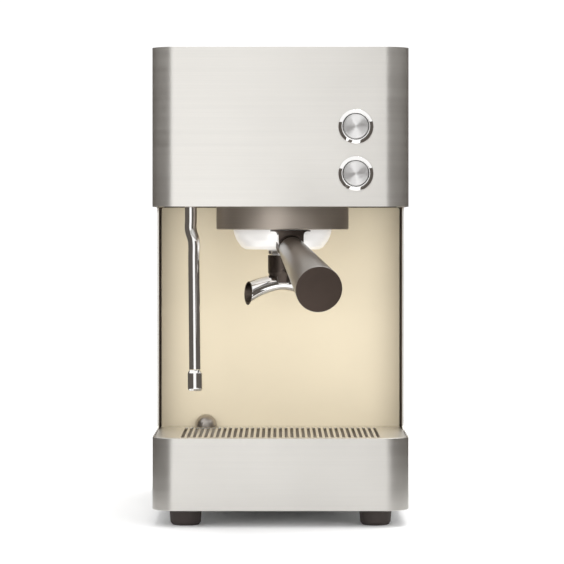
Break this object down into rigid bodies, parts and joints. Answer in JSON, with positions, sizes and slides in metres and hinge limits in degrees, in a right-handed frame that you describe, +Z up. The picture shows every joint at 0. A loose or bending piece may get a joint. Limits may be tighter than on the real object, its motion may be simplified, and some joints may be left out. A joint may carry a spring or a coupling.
{
  "type": "espresso machine",
  "caption": "Compact stainless espresso machine with an open cup bay, side handle portafilter, steam wand, push buttons, pull-out drip tray and lift-out water tank.",
  "frame": {"origin": "centre of the bounding box, on the plane that the feet stand on", "axes": "+X to the right as seen from the front, +Y from the front to the back, +Z up"},
  "size_m": [0.19, 0.4124, 0.3535],
  "materials": {
    "brushed_steel": "stainless sheet with a fine horizontal brushed grain",
    "inner_steel": "plain mill-finish steel sheet",
    "chrome": "polished chrome plate",
    "dark_steel": "dark polished steel",
    "cream_paint": "satin cream paint",
    "handle_black": "matte black moulded plastic",
    "foot_rubber": "matte black rubber",
    "black_plastic": "matte black moulded plastic",
    "tank_plastic": "pale translucent moulded plastic",
    "brass": "plain machined brass",
    "copper": "plain copper tube",
    "silicone": "pale silicone hose",
    "circuit_board": "green lacquered board"
  },
  "bodies": {
    "housing": {"base_plate": "inner_steel", "bay_ceiling": "inner_steel", "boiler": "brass", "boiler_thermostat": "black_plastic", "brew_valve": "inner_steel", "coffee_button_bezel": "chrome", "coffee_button_nut": "inner_steel", "coffee_switch": "black_plastic", "control_board": "circuit_board", "delivery_pipe": "copper", "divider_plate": "inner_steel", "drain_hose": "silicone", "drain_outlet": "chrome", "foot_back_left": "foot_rubber", "foot_back_right": "foot_rubber", "foot_front_left": "foot_rubber", "foot_front_right": "foot_rubber", "group_cover": "dark_steel", "group_gasket": "foot_rubber", "group_head": "chrome", "heating_element": "copper", "housing_wrap": "brushed_steel", "power_inlet": "black_plastic", "pump": "brass", "pump_bracket": "inner_steel", "rear_panel": "inner_steel", "rear_screw_1": "inner_steel", "rear_screw_2": "inner_steel", "rear_screw_3": "inner_steel", "rear_screw_4": "inner_steel", "shower_screen": "inner_steel", "splash_panel": "cream_paint", "steam_button_bezel": "chrome", "steam_button_nut": "inner_steel", "steam_pipe": "copper", "steam_switch": "black_plastic", "steam_valve": "inner_steel", "suction_hose": "silicone", "tank_seat": "black_plastic", "tank_shelf": "inner_steel", "top_panel": "brushed_steel", "wand_nut": "chrome"},
    "coffee_button": {"coffee_button_cap": "chrome"},
    "steam_button": {"steam_button_cap": "chrome"},
    "portafilter": {"portafilter_body": "chrome", "filter_basket": "inner_steel", "spout_lock_nut": "chrome", "double_spout": "chrome", "handle_stud": "inner_steel", "handle_grip": "handle_black"},
    "wand_ball": {"wand_ball": "chrome"},
    "wand": {"wand_tube": "chrome", "wand_tip": "chrome"},
    "drip_tray": {"tray_front": "brushed_steel", "tray_pan": "inner_steel"},
    "grille": {"drip_grille": "brushed_steel"},
    "tank": {"water_tank": "tank_plastic", "tank_valve": "black_plastic", "lid_hinge_pin": "inner_steel"},
    "lid": {"tank_lid": "brushed_steel"}
  },
  "joints": [
    {"name": "coffee_press", "type": "slide", "parent": "housing", "child": "coffee_button", "axis": [0, 1, 0], "range_m": [0, 0.0025], "stiffness_N_per_m": 600},
    {"name": "steam_press", "type": "slide", "parent": "housing", "child": "steam_button", "axis": [0, 1, 0], "range_m": [0, 0.0025], "stiffness_N_per_m": 600},
    {"name": "portafilter_turn", "type": "hinge", "parent": "housing", "child": "portafilter", "pos_m": [0.0015, -0.0385, 0.225], "axis": [0, 0, 1], "range_deg": [-50, 0]},
    {"name": "wand_swing", "type": "hinge", "parent": "housing", "child": "wand_ball", "pos_m": [-0.0675, -0.0465, 0.246], "axis": [0, -1, 0], "range_deg": [-20, 12]},
    {"name": "wand_tilt", "type": "hinge", "parent": "wand_ball", "child": "wand", "pos_m": [-0.0675, -0.0465, 0.246], "axis": [-1, 0, 0], "range_deg": [-10, 18]},
    {"name": "tray_pull", "type": "slide", "parent": "housing", "child": "drip_tray", "axis": [0, -1, 0], "range_m": [0, 0.12]},
    {"name": "grille_lift", "type": "slide", "parent": "drip_tray", "child": "grille", "axis": [0, 0, 1], "range_m": [0, 0.02]},
    {"name": "tank_lift", "type": "slide", "parent": "housing", "child": "tank", "axis": [0, 0, 1], "range_m": [0, 0.26]},
    {"name": "lid_open", "type": "hinge", "parent": "tank", "child": "lid", "pos_m": [0, 0.1975, 0.351], "axis": [-1, 0, 0], "range_deg": [0, 95]}
  ]
}
